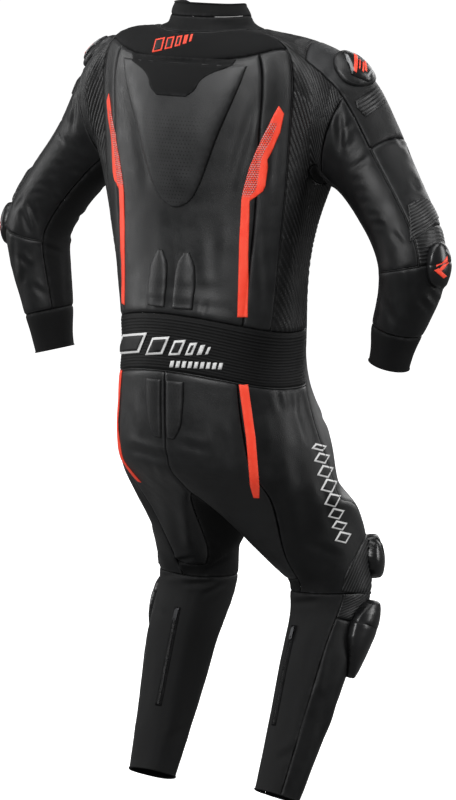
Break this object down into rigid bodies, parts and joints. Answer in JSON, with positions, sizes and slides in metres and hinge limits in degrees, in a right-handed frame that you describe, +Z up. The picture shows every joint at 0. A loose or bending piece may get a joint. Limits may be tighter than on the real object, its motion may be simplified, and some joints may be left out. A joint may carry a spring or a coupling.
{
  "type": "motorcycle race suit",
  "caption": "One-piece leather race suit, hollow and worn-shaped, bent arms and legs, accordion stretch panels, hump, moulded cups and sliders, zips.",
  "frame": {"origin": "middle of the neck hole at the height of the shoulders, where the suit is carried", "axes": "+Z up from the hems to the collar; -Y the way the wearer would face; -X the wearer's right"},
  "size_m": [0.954, 0.3774, 1.4068],
  "materials": {
    "leather": "black cowhide, satin",
    "red_leather": "red cowhide, satin",
    "accordion": "black leather ribs sewn over elastic",
    "stretch": "black stretch cloth, matte",
    "pad": "grey-black textured cloth",
    "plastic": "black moulded plastic with red and grey marks",
    "metal": "bright metal teeth and tabs"
  },
  "bodies": {
    "suit": {"back_hump": "leather", "back_panel": "leather", "back_side_left": "leather", "back_side_right": "leather", "back_sleeve_left": "leather", "back_sleeve_right": "leather", "back_stripe_left": "red_leather", "back_stripe_right": "red_leather", "calf_left": "leather", "calf_right": "leather", "calf_zip_left": "metal", "calf_zip_right": "metal", "collar_base": "leather", "collar_edge": "stretch", "crotch_stretch": "stretch", "cuff_left": "stretch", "cuff_right": "stretch", "elbow_slider_left": "plastic", "elbow_slider_right": "plastic", "elbow_stretch_left": "accordion", "elbow_stretch_right": "accordion", "forearm_left": "leather", "forearm_right": "leather", "front_left": "leather", "front_right": "leather", "front_zip": "metal", "knee_cup_left": "plastic", "knee_cup_right": "plastic", "knee_slider_left": "plastic", "knee_slider_right": "plastic", "knee_stretch_left": "accordion", "knee_stretch_right": "accordion", "seat_left": "leather", "seat_pad_left": "pad", "seat_pad_right": "pad", "seat_right": "leather", "seat_stripe_left": "red_leather", "seat_stripe_right": "red_leather", "shin_left": "leather", "shin_right": "leather", "shoulder_cup_left": "plastic", "shoulder_cup_right": "plastic", "shoulder_left": "leather", "shoulder_right": "leather", "side_stretch_left": "accordion", "side_stretch_right": "accordion", "spine_pad_left": "leather", "spine_pad_right": "leather", "thigh_outer_left": "leather", "thigh_outer_right": "leather", "under_sleeve_left": "stretch", "under_sleeve_right": "stretch", "upper_sleeve_left": "leather", "upper_sleeve_right": "leather", "waist_stretch": "accordion", "yoke": "leather", "yoke_tongue": "leather"},
    "front_zip_pull_tab": {"front_zip_pull": "metal"},
    "calf_pull_right_tab": {"calf_pull_right": "metal"},
    "calf_pull_left_tab": {"calf_pull_left": "metal"}
  },
  "joints": [
    {"name": "front_pull_swing", "type": "hinge", "parent": "suit", "child": "front_zip_pull_tab", "pos_m": [0, -0.08171, -0.04805], "axis": [-1, 0, 0], "range_deg": [0, 150]},
    {"name": "calf_pull_right_swing", "type": "hinge", "parent": "suit", "child": "calf_pull_right_tab", "pos_m": [-0.12805, -0.05704, -1.03262], "axis": [0.9691, -0.2255, -0.0996], "range_deg": [0, 150]},
    {"name": "calf_pull_left_swing", "type": "hinge", "parent": "suit", "child": "calf_pull_left_tab", "pos_m": [0.12805, -0.05704, -1.03262], "axis": [0.9691, 0.2255, 0.0996], "range_deg": [0, 150]}
  ]
}
